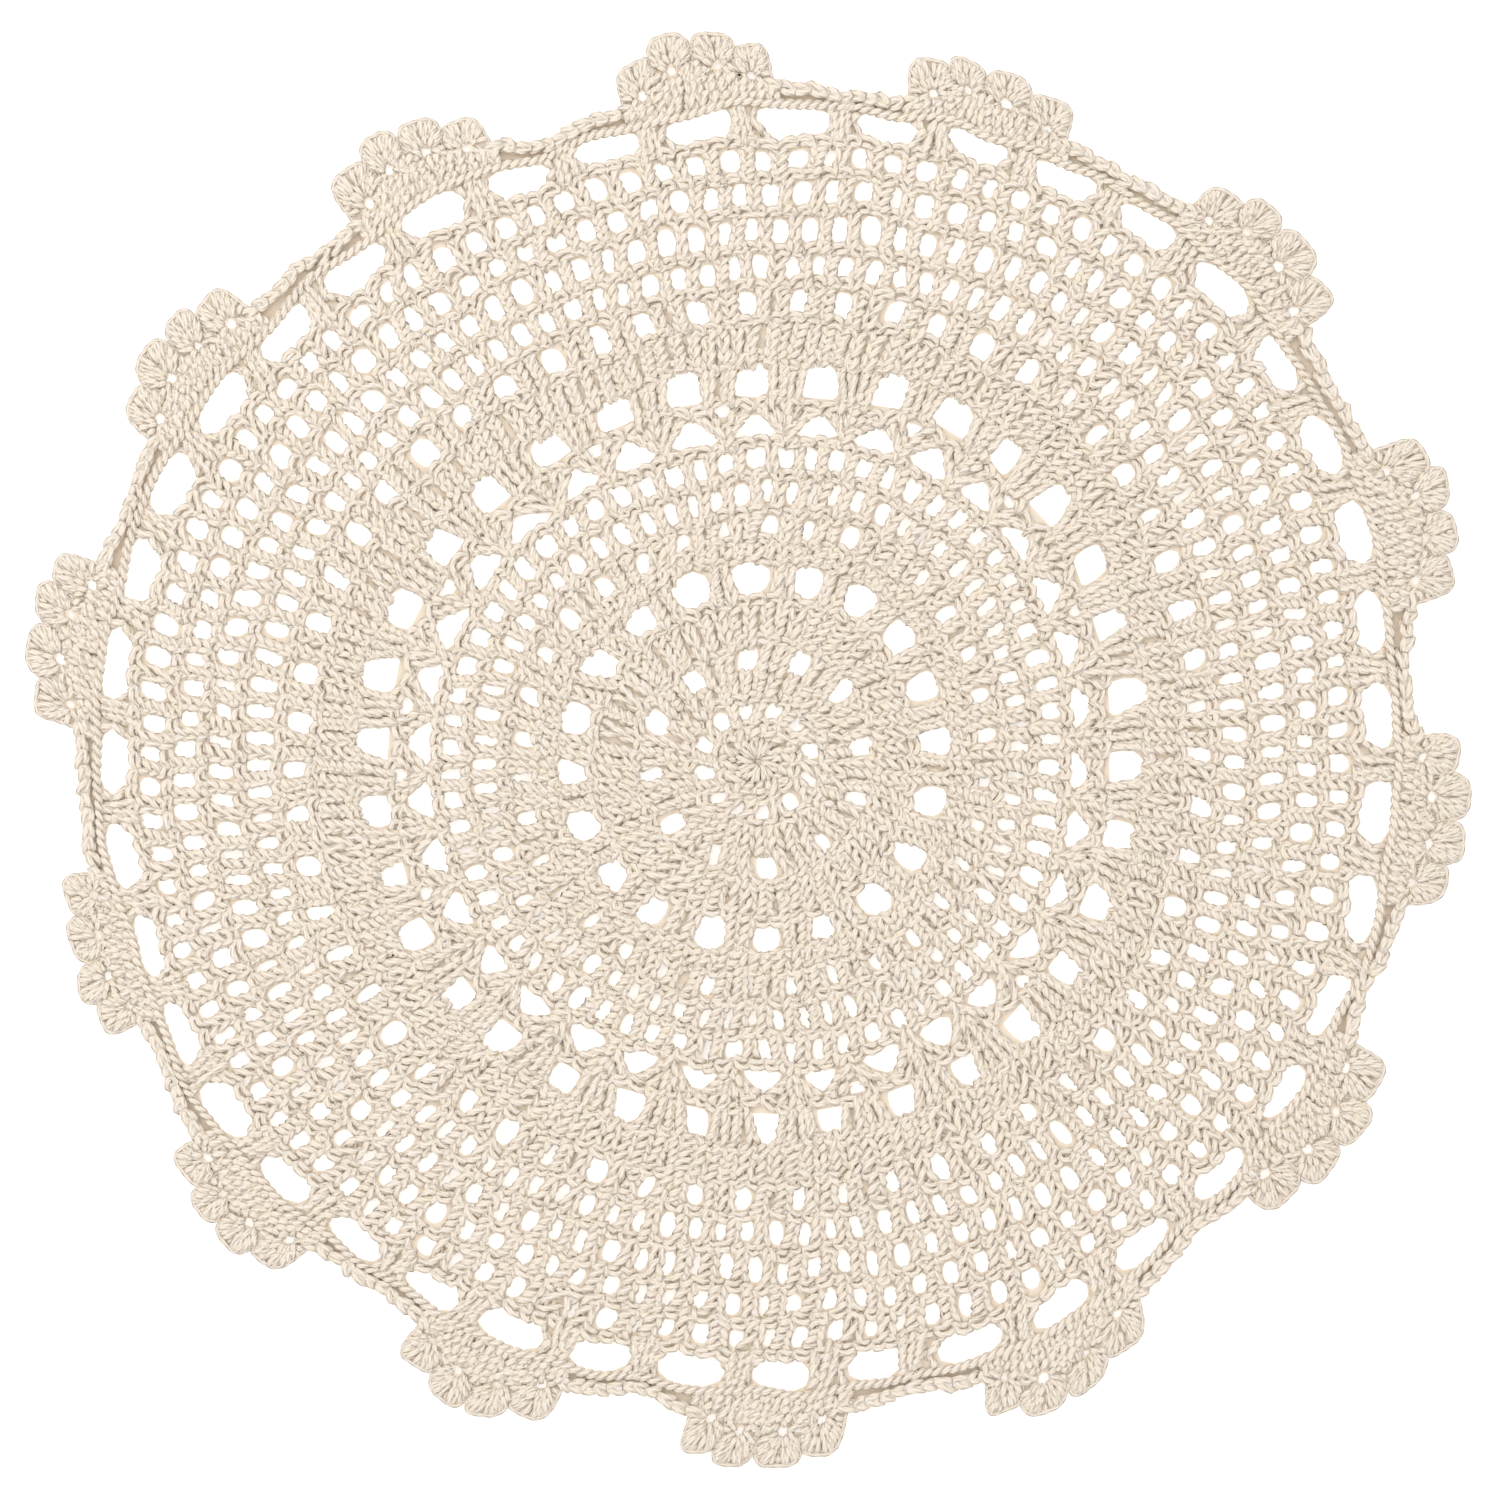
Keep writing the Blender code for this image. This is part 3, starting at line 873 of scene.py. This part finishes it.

# %% [markdown]
# ## The ground
#
# Behind the strands that show, the backs of the stitches close the cloth, so no table shows between two
# posts that stand together. One thin sheet, with every gap of the lace left out, stands for these backs,
# in a darker, warmer colour that is painted shade.
# It is a set of rings. A ring is a grid of radius by turn whose lines follow the gaps' rounded edges, so
# the gaps are simply the cells that are left out.

# %% The gaps of every round
Gaps = namedtuple("Gaps", "count first radius inner_width outer_width height inner_edge outer_edge")
SMALL = 9                     # the row of small gaps above the Vs, where most are shut
GAPS = (                      # turn of one gap, radius of its middle, widths and height in mm, ring's edges
    Gaps(12, 9.7, 14.2, 3.4, 3.4, 3.8, 1.0, 17.6),
    Gaps(12, 7.7, 27.7, 4.4, 4.6, 6.5, 17.6, 31.6),
    Gaps(60, 0.0, 36.6, 0.0, 0.0, 0.0, 31.6, 42.6),
    Gaps(20, 3.5, 47.9, 6.4, 9.2, 7.8, 42.6, 53.2),
    Gaps(100, 0.0, 55.0, 0.0, 0.0, 0.0, 53.2, 57.8),
    Gaps(34, 4.2, 61.1, 3.1, 3.1, 5.2, 57.8, 65.4),
    Gaps(68, 0.1, 70.4, 2.9, 2.9, 4.6, 65.4, 74.8),
    Gaps(68, 1.93, 79.2, 3.9, 4.1, 5.4, 74.8, 83.0),
    Gaps(34, 6.96, 87.7, 13.8, 3.4, 5.8, 83.0, 91.2),
    Gaps(34, 1.67, 92.4, 2.6, 3.6, 2.3, 91.2, 95.0),
    Gaps(34, 7.5, 99.6, 9.2, 8.2, 9.1, 95.0, 104.4),
    Gaps(170, 0.0, 109.0, 0.0, 0.0, 0.0, 104.4, 114.8),
    Gaps(57, 4.31, 119.3, 4.6, 4.8, 6.2, 114.8, 124.2),
    Gaps(112, 0.44, 129.0, 3.5, 3.6, 5.2, 124.2, 133.8),
    Gaps(112, 1.41, 138.7, 3.7, 3.8, 5.6, 133.8, 143.6),
    Gaps(112, 2.46, 148.1, 4.1, 4.2, 4.9, 143.6, 152.6),
    Gaps(112, 3.26, 157.0, 4.2, 4.3, 4.7, 152.6, 161.2),
    Gaps(42, 95.2, 166.6, 17.6, 19.8, 8.0, 161.2, 172.0),
)
print("gaps in the chart:", sum(row.count for row in GAPS if row.height))

# %% [markdown]
# A ring has seven lines of radius, five of them across the gap, and three lines of turn for each gap: its
# two sides and its middle. The gap is narrower at the first and last of its five lines, which rounds its
# corners. Round the wavy chain the lines wave with it.

# %% One ring of the ground
BEHIND_THE_YARN = 0.40        # the ground stops this far behind the yarn at a gap's edge, mm
WAVE_REACH = 3.2              # the wavy chain moves the ground this far to each side of it, mm
STATIONS = np.array((-1.0, -0.56, 0.0, 0.56, 1.0))      # up a gap, from its inner to its outer end
ROUNDNESS = np.array((0.40, 0.89, 1.0, 0.89, 0.40))     # share of the gap's width at each of them


def ring(row, shut):
    """Points and faces of one ring of the ground. In each repeat the lines of turn are the gap's two
    edges and its middle. shut tells for each gap whether the stitches close it."""
    open_gap = row.height > 0
    high = (row.height / 2 + BEHIND_THE_YARN) * open_gap
    radius = np.concatenate(([row.inner_edge], row.radius + high * STATIONS, [row.outer_edge]))
    radius = np.clip(radius, row.inner_edge, row.outer_edge)
    wide = row.inner_width + (row.outer_width - row.inner_width) * (STATIONS + 1) / 2
    half = (wide / 2 + BEHIND_THE_YARN * open_gap) * ROUNDNESS
    half = np.degrees(np.concatenate((half[:1], half, half[-1:])) / radius)
    middle = evenly(row.first, row.count)
    half = half[:, None] * (1 + slack(middle))
    columns = np.stack((-half, np.zeros(half.shape), half), axis=-1)
    turn = middle[:, None] + columns
    near = np.clip(1 - np.abs(radius - CHAIN_MIDDLE) / WAVE_REACH, 0, 1)[:, None, None]
    place = laid(radius[:, None, None] + wave(turn) * near, turn).reshape(len(radius), -1, 2)
    lines = place.shape[1]
    i, j = np.meshgrid(np.arange(len(radius) - 1), np.arange(lines), indexing="ij")
    k = (j + 1) % lines
    faces = np.stack((i * lines + j, (i + 1) * lines + j, (i + 1) * lines + k, i * lines + k), axis=-1)
    flat = radius[i] == radius[i + 1]
    across_gap = (i > 0) & (i < len(STATIONS)) & (j % 3 < 2)
    gap = open_gap & across_gap & ~shut[j // 3]
    return place.reshape(-1, 2), faces[~gap & ~flat]


print("faces in the ring of windows:", len(ring(GAPS[3], np.zeros(GAPS[3].count, bool))[1]))

# %% [markdown]
# At the edge the ground isn't made of rings. Each lobe has a strip from its hole out to its rim, which
# goes on as a narrow collar on the side of the base. The base has a strip of its own, and one more lies
# deep between the two chains, so that the slit between them is dark: it lies in deeper shade, and like
# all the ground it has the painted shade colour.

# %% The ground of a scallop and of the edge beside it
HOLE_BEHIND = (0.9, 1.5)      # least and most of half the hole in the ground behind a fan's hole, mm
COLLAR = 3.0                  # on the base's side the ground round that hole reaches this far, mm
COLLAR_STEPS = 12
FAN_GROUND_STEPS = 22
FAN_GROUND_IN = 1.3           # the ground stops this far inside a fan's edge, mm
BASE_TOP = (                  # degrees from the scallop's middle, radius: the base passes below the holes
    (-6.6, 176.0), (-5.15, 176.8), (-3.5, 181.0), (-1.86, 180.4), (0.0, 183.0),
    (1.78, 180.4), (3.4, 181.0), (4.95, 176.8), (6.6, 176.0),
)


def strip(inner, outer, closed=False):
    """Points and faces of the strip between two lines (steps, 2), face by face from one end to the other."""
    steps = len(inner)
    j = np.arange(steps if closed else steps - 1)
    k = (j + 1) % steps
    return np.concatenate((inner, outer)), np.stack((j, k, k + steps, j + steps), axis=-1)[:, ::-1]


def fan_ground(fan, middle, hole):
    """A strip round one fan's hole: out to the fan's rim, and on the base's side to a narrow collar."""
    right, out = round_rim(fan, np.linspace(fan.last, fan.first, FAN_GROUND_STEPS), FAN_GROUND_IN)
    ways = np.degrees(np.unwrap(np.arctan2(out, right)))
    more = np.linspace(ways[-1], ways[0] + 360, COLLAR_STEPS)[1:-1]
    more_right, more_out = round_hole(more, COLLAR)
    outer = in_fan(fan, middle, (np.append(right, more_right), np.append(out, more_out)))
    inner = in_fan(fan, middle, round_hole(np.append(ways, more), hole))
    return strip(inner, outer, closed=True)


def base_ground(middle):
    """The ground behind a scallop's base, from the inner chain up to the line that passes the holes."""
    place, top = np.array(BASE_TOP).T
    return strip(laid(INNER_CHAIN, middle + place), laid(top, middle + place))


# Painted shade: this strip, in the ground's darker colour, makes the slit between the chains dark.
def valley_ground(middle):
    """A strip between the two chains of the edge, from one scallop to the next."""
    share = np.linspace(0, 1, CHAINS_BETWEEN)
    return strip(outer_chain(middle, share), laid(INNER_CHAIN, valley_turn(middle, share)))


print("faces behind one lobe:", len(fan_ground(FANS[0], FIRST_SCALLOP, 1.0)[1]))

# %% [markdown]
# All the strips and rings become one mesh. Two faces at the same height would flicker where they overlap,
# so each lies a hair's breadth above its neighbour. A Solidify modifier then gives the sheet its depth,
# to both sides of the drawn surface.

# %% All the ground as one sheet
GROUND_HEIGHT = 1.1           # middle of the ground above the table, mm
GROUND_DEPTH = 0.6
LIFT = 0.06                   # each fan's ground lies this far above the one it overlaps, mm
SLIT_DEPTH = 0.70             # between the edge's two chains the ground lies this much lower, mm


def make_ground(material, shut, chance):
    """All the ground as one mesh, and its flat area in square metres. shut tells for each of the small
    gaps whether it is closed. The parts that overlap lie a little above each other."""
    parts = [(*ring(row, shut if number == SMALL else np.zeros(row.count, bool)), number % 2 * LIFT / 2)
             for number, row in enumerate(GAPS)]
    for middle in SCALLOP_MIDDLES:
        parts += [(*valley_ground(middle), -SLIT_DEPTH), (*base_ground(middle), LIFT)]
        parts += [(*fan_ground(fan, middle, chance.uniform(*HOLE_BEHIND)), (2 + number) * LIFT)
                  for number, fan in enumerate(FANS)]
    first = np.cumsum([0] + [len(points) for points, _, _ in parts[:-1]])
    height = np.concatenate([np.full(len(points), GROUND_HEIGHT + lift) for points, _, lift in parts])
    points = np.column_stack((np.concatenate([points for points, _, _ in parts]), height)) * MM
    faces = np.concatenate([faces + start for (_, faces, _), start in zip(parts, first)])
    mesh = bpy.data.meshes.new("ground")
    mesh.from_pydata(points.tolist(), [], faces.tolist())
    mesh.materials.append(material)
    ground = add_object("ground", mesh)
    depth = ground.modifiers.new("depth", "SOLIDIFY")
    depth.thickness = GROUND_DEPTH * MM
    depth.offset = 0.0
    area = sum(face.area for face in mesh.polygons)
    print("ground:", len(faces), "faces, closed area", round(area, 4), "square metres")
    return ground, area


# %% [markdown]
# ## The cotton's colour and surface
#
# Undyed cotton is a warm cream without shine. Close up it isn't one flat colour. The yarn is plied, with a
# shaded groove between two plies, its strands differ a little, and over the cloth the cream drifts and has
# small yellowish patches. A picture of cotton wrapped round the tubes would repeat and blur. Nodes draw
# the plies from each tube's own UV map and the rest from the place on the object, sharp at any size.
#
# First come a few short helpers. Without them every node takes three or four lines. feed() is the main
# one: what a node's input is given may be a number, a colour, or what comes out of another node.

# %% Helpers for node trees
def socket(group, name, kind, way, value=None):
    """An input or an output of a node group."""
    made = group.interface.new_socket(name, in_out=way, socket_type=kind)
    if value is not None:
        made.default_value = value
    return made


def feed(tree, made, inputs):
    """Gives a node's inputs, by name or number, their numbers, colours or other nodes' outputs."""
    for name, value in inputs.items():
        if isinstance(value, bpy.types.NodeSocket):
            tree.links.new(value, made.inputs[name])
        else:
            made.inputs[name].default_value = value


def node(tree, kind, inputs=None, **settings):
    """A new node with its settings and its inputs."""
    made = tree.nodes.new(kind)
    for name, value in settings.items():
        setattr(made, name, value)
    feed(tree, made, inputs or {})
    return made


def maths(tree, operation, *values):
    """The result of a Math node on one or two values."""
    return node(tree, "ShaderNodeMath", dict(enumerate(values)), operation=operation).outputs[0]


def mixed(tree, share, first, second, blend="MIX"):
    """The colour from a Mix node: its inputs 0, 6 and 7 are the share and the two colours."""
    mix = node(tree, "ShaderNodeMix", {0: share, 6: first, 7: second},
               data_type="RGBA", blend_type=blend, clamp_factor=True)
    return mix.outputs[2]


def new_material(name, look):
    """A new material, with some inputs of its shader set."""
    material = bpy.data.materials.new(name)
    material.use_nodes = True
    feed(material.node_tree, material.node_tree.nodes["Principled BSDF"], look)
    return material


# %% [markdown]
# What both materials need, or might, sits in two node groups with named inputs and outputs. plied_yarn
# tells from the UV map alone where the surface is a ply or a groove, and where the side of a strand
# begins, which is where the painted shade along a strand goes. uneven_cotton mixes the colour. Each is
# built once, and a material sets its own values on it.

# %% A node group for the plies of the yarn
def plied_yarn_group():
    """Ridge: how high the surface of the plied yarn stands, from 0 in a groove to 1 on a ply.
    It is the size of a sine of (plies × v + u / lay), so that grooves are sharp and plies round.
    Side: the mask of the painted shade along a strand's sides, from 0 along the top of the yarn, where v is a
    half, to 1 at its sides, as a square."""
    group = bpy.data.node_groups.new("plied_yarn", "ShaderNodeTree")
    socket(group, "Plies", "NodeSocketFloat", "INPUT", 4.0)
    socket(group, "Lay", "NodeSocketFloat", "INPUT", 3.2)
    socket(group, "Ridge", "NodeSocketFloat", "OUTPUT")
    socket(group, "Side", "NodeSocketFloat", "OUTPUT")
    start, end = node(group, "NodeGroupInput"), node(group, "NodeGroupOutput")
    uv = node(group, "ShaderNodeUVMap", uv_map="yarn")
    split = node(group, "ShaderNodeSeparateXYZ", {0: uv.outputs[0]})
    around = maths(group, "MULTIPLY", split.outputs[1], start.outputs["Plies"])
    along = maths(group, "DIVIDE", split.outputs[0], start.outputs["Lay"])
    phase = maths(group, "MULTIPLY", maths(group, "ADD", around, along), math.pi)
    ridge = maths(group, "ABSOLUTE", maths(group, "SINE", phase))
    # The mask for the painted shade along the strands' sides: 0 on top of a tube, 1 at its sides.
    off_top = maths(group, "ABSOLUTE", maths(group, "SUBTRACT", split.outputs[1], 0.5))
    side = maths(group, "MINIMUM", maths(group, "MULTIPLY", off_top, 2.0 * SIDES), 1.0)
    feed(group, end, {"Ridge": ridge, "Side": maths(group, "POWER", side, 2.0)})
    return group


plied_yarn = plied_yarn_group()
print("node group:", plied_yarn.name, "with", len(plied_yarn.nodes), "nodes")

# %% A node group for uneven cotton
DRIFT_SCALE = 90.0            # a drift of the colour is about a ninetieth of a metre wide
DRIFT_SHARE = 0.9             # how much of the way from Dark to Light the drift goes
TONE_SHARE = 0.5              # and how much the tone
TOWARDS_DARK = 0.2            # and this much is taken off
PATCH_SCALE = 260.0           # a patch is about 4 mm wide
PATCHES = (0.5, 0.72)         # a patch starts where its noise is at the first, and is full at the second
PATCH_WARMTH = 0.7            # share of Warm in a full patch


def uneven_cotton_group():
    """Color: the cotton's cream, from Dark to Light by its Tone and a slow drift, and in patches as wide
    as a stitch a little warmer."""
    group = bpy.data.node_groups.new("uneven_cotton", "ShaderNodeTree")
    socket(group, "Light", "NodeSocketColor", "INPUT", (0.876, 0.792, 0.708, 1))
    socket(group, "Dark", "NodeSocketColor", "INPUT", (0.85, 0.75, 0.635, 1))
    socket(group, "Warm", "NodeSocketColor", "INPUT", (0.87, 0.78, 0.63, 1))
    socket(group, "Tone", "NodeSocketFloat", "INPUT", 0.5)
    socket(group, "Color", "NodeSocketColor", "OUTPUT")
    start, end = node(group, "NodeGroupInput"), node(group, "NodeGroupOutput")
    place = node(group, "ShaderNodeTexCoord").outputs["Object"]
    drift = node(group, "ShaderNodeTexNoise", {"Vector": place, "Scale": DRIFT_SCALE, "Detail": 3.0})
    share = maths(group, "ADD", maths(group, "MULTIPLY", drift.outputs["Fac"], DRIFT_SHARE),
                  maths(group, "MULTIPLY", start.outputs["Tone"], TONE_SHARE))
    share = maths(group, "SUBTRACT", share, TOWARDS_DARK)
    cream = mixed(group, share, start.outputs["Dark"], start.outputs["Light"])
    patches = node(group, "ShaderNodeTexNoise", {"Vector": place, "Scale": PATCH_SCALE})
    warmth = node(group, "ShaderNodeMapRange", {"Value": patches.outputs["Fac"], "From Min": PATCHES[0],
                                                "From Max": PATCHES[1], "To Max": PATCH_WARMTH})
    feed(group, end, {"Color": mixed(group, warmth.outputs["Result"], cream, start.outputs["Warm"])})
    return group


uneven_cotton = uneven_cotton_group()
print("node group:", uneven_cotton.name, "with", len(uneven_cotton.nodes), "nodes")

# %% [markdown]
# Light that falls between strands has touched cotton several times before it comes out, and each time it
# loses more blue than red. So creases in cream cotton are warm, not grey. The renderer does some of that,
# and two tints of painted shade do the rest: one darkens and warms the colour in the grooves between plies,
# and one along the strands' sides. A bump from the same ridges catches the light, and a little sheen stands
# for the fuzz. The backs of the stitches lie in the shade, so their colour is painted shade: darker and
# warmer, with no plies to see.

# %% The materials of the yarn and of the ground
WHITE = (1.0, 1.0, 1.0, 1)
# Painted shade: tints that darken and warm the cotton in the grooves between plies and along the strands'
# sides.
GROOVE_PAINTED_SHADE = (0.935, 0.915, 0.885, 1)      # the cotton's colour is multiplied by these
SIDE_PAINTED_SHADE = (1.0, 0.975, 0.928, 1)
GROOVE_TO = 0.5               # the groove's tint has gone where the ridge is this high
RIDGE_DEPTH = 0.00025         # height of a ridge in the bump, m
# Painted shade: the backs of the stitches get a darker, warmer cream than the yarn, as they lie in shade.
BACKS_IN_PAINTED_SHADE = {"Light": (0.85, 0.75, 0.63, 1), "Dark": (0.79, 0.685, 0.56, 1), "Warm": (0.80, 0.69, 0.55, 1)}


def cotton_yarn_material():
    """Cream by strand and place, with painted shade in its grooves and at its sides, and its ridges as bump.
    """
    look = {"Roughness": 0.92, "Specular IOR Level": 0.25, "Sheen Weight": 0.12}
    material = new_material("cotton_yarn", look)
    tree = material.node_tree
    ply = node(tree, "ShaderNodeGroup", node_tree=plied_yarn)
    tone = node(tree, "ShaderNodeAttribute", attribute_name="tone")
    cream = node(tree, "ShaderNodeGroup", {"Tone": tone.outputs["Fac"]}, node_tree=uneven_cotton)
    # Painted shade: the cream is multiplied by a darker, warmer tint in the grooves and along the strands'
    # sides.
    groove = node(tree, "ShaderNodeMapRange", {"Value": ply.outputs["Ridge"], "From Max": GROOVE_TO})
    shade = mixed(tree, groove.outputs["Result"], GROOVE_PAINTED_SHADE, WHITE)
    shaded = mixed(tree, 1.0, cream.outputs["Color"], shade, "MULTIPLY")
    shaded = mixed(tree, 1.0, shaded, mixed(tree, ply.outputs["Side"], WHITE, SIDE_PAINTED_SHADE), "MULTIPLY")
    ridges = {"Strength": 0.7, "Distance": RIDGE_DEPTH, "Height": ply.outputs["Ridge"]}
    bump = node(tree, "ShaderNodeBump", ridges)
    feed(tree, tree.nodes["Principled BSDF"], {"Base Color": shaded, "Normal": bump.outputs["Normal"]})
    return material


def ground_painted_shade_material():
    """The same uneven cotton, darker and warmer as painted shade, and without plies."""
    material = new_material("stitch_backs_painted_shade", {"Roughness": 0.95, "Specular IOR Level": 0.1})
    tree = material.node_tree
    cream = node(tree, "ShaderNodeGroup", BACKS_IN_PAINTED_SHADE, node_tree=uneven_cotton)
    feed(tree, tree.nodes["Principled BSDF"], {"Base Color": cream.outputs["Color"]})
    return material


# %% [markdown]
# ## From strands to pieces
#
# Now every zone is spun into its mesh and rides on the doily's one body. The ground takes the place of the
# plain CAD cloth, which is hidden, and the area of its closed parts is worked out. Crochet isn't cut from a
# larger cloth, so the laid size is its only size.

# %% Spinning the zones and placing the pieces
cotton = cotton_yarn_material()
pieces, total = [], 0
for zone in zones:
    piece, triangles = spin(zone, cotton)
    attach(piece, "root")
    pieces.append(piece)
    total += triangles
print("yarn triangles in all:", total)
ground, closed_area = make_ground(ground_painted_shade_material(), shut, chance)
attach(ground, "root")
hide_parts("doily")

# %% [markdown]
# ## Table, light and camera
#
# The doily lies on a white table. Lace needs light from one side, or its stitches have no shade, but a
# hard lamp would make every crease black. So a bright, even sky gives most of the light, and a large soft
# lamp from the upper left adds a little direction. The table also shines faintly by itself, which keeps
# the gaps of the lace white. The camera looks straight down through a long lens, which keeps the rounds
# as round at the rim as they are in the middle.

# %% Floor
FLOOR_SIDE = 3.0
bpy.ops.mesh.primitive_plane_add(size=FLOOR_SIDE, location=(0, 0, 0))
floor = bpy.context.object
floor.name = "floor"
floor.data.materials.append(new_material("white_table", {
    "Base Color": (0.93, 0.93, 0.93, 1), "Roughness": 0.9,
    "Emission Color": (1, 1, 1, 1), "Emission Strength": 0.35,
}))
print("the floor is", FLOOR_SIDE, "metres wide")

# %% Light
SKY = 1.075                   # strength of the even light from all sides
LAMP_SIDE = 0.9               # m
LAMP_POWER = 3.8              # W
LAMP_PLACE = (-0.55, 0.65, 1.0)
world = bpy.data.worlds.new("studio")
bpy.context.scene.world = world
world.use_nodes = True
feed(world.node_tree, world.node_tree.nodes["Background"], {"Color": (1, 1, 1, 1), "Strength": SKY})
lamp = bpy.data.lights.new("softbox", "AREA")
lamp.shape = "SQUARE"
lamp.size = LAMP_SIDE
lamp.energy = LAMP_POWER
softbox = add_object("softbox", lamp)
softbox.location = LAMP_PLACE
right, back, up = LAMP_PLACE
softbox.rotation_euler = (-math.atan2(back, up), math.atan2(right, up), 0)
bpy.context.scene.view_settings.view_transform = "Standard"
print("lamp to the middle of the doily:", round(softbox.location.length, 2), "metres")

# %% Camera
FIELD = 0.3953                # what the camera sees is this wide at the height of the yarn, m
LENS = 100.0                  # mm
LOOK_AT = (0.0001, 0.0002)    # the camera stands over this place
YARN_TOP = 0.002              # height of most of the yarn that shows, m
camera_data = bpy.data.cameras.new("camera")
camera_data.lens = LENS
camera = add_object("camera", camera_data)
camera.location = (*LOOK_AT, FIELD * LENS / camera_data.sensor_width + YARN_TOP)
bpy.context.scene.camera = camera
print("camera above the table:", round(camera.location.z, 3), "metres")
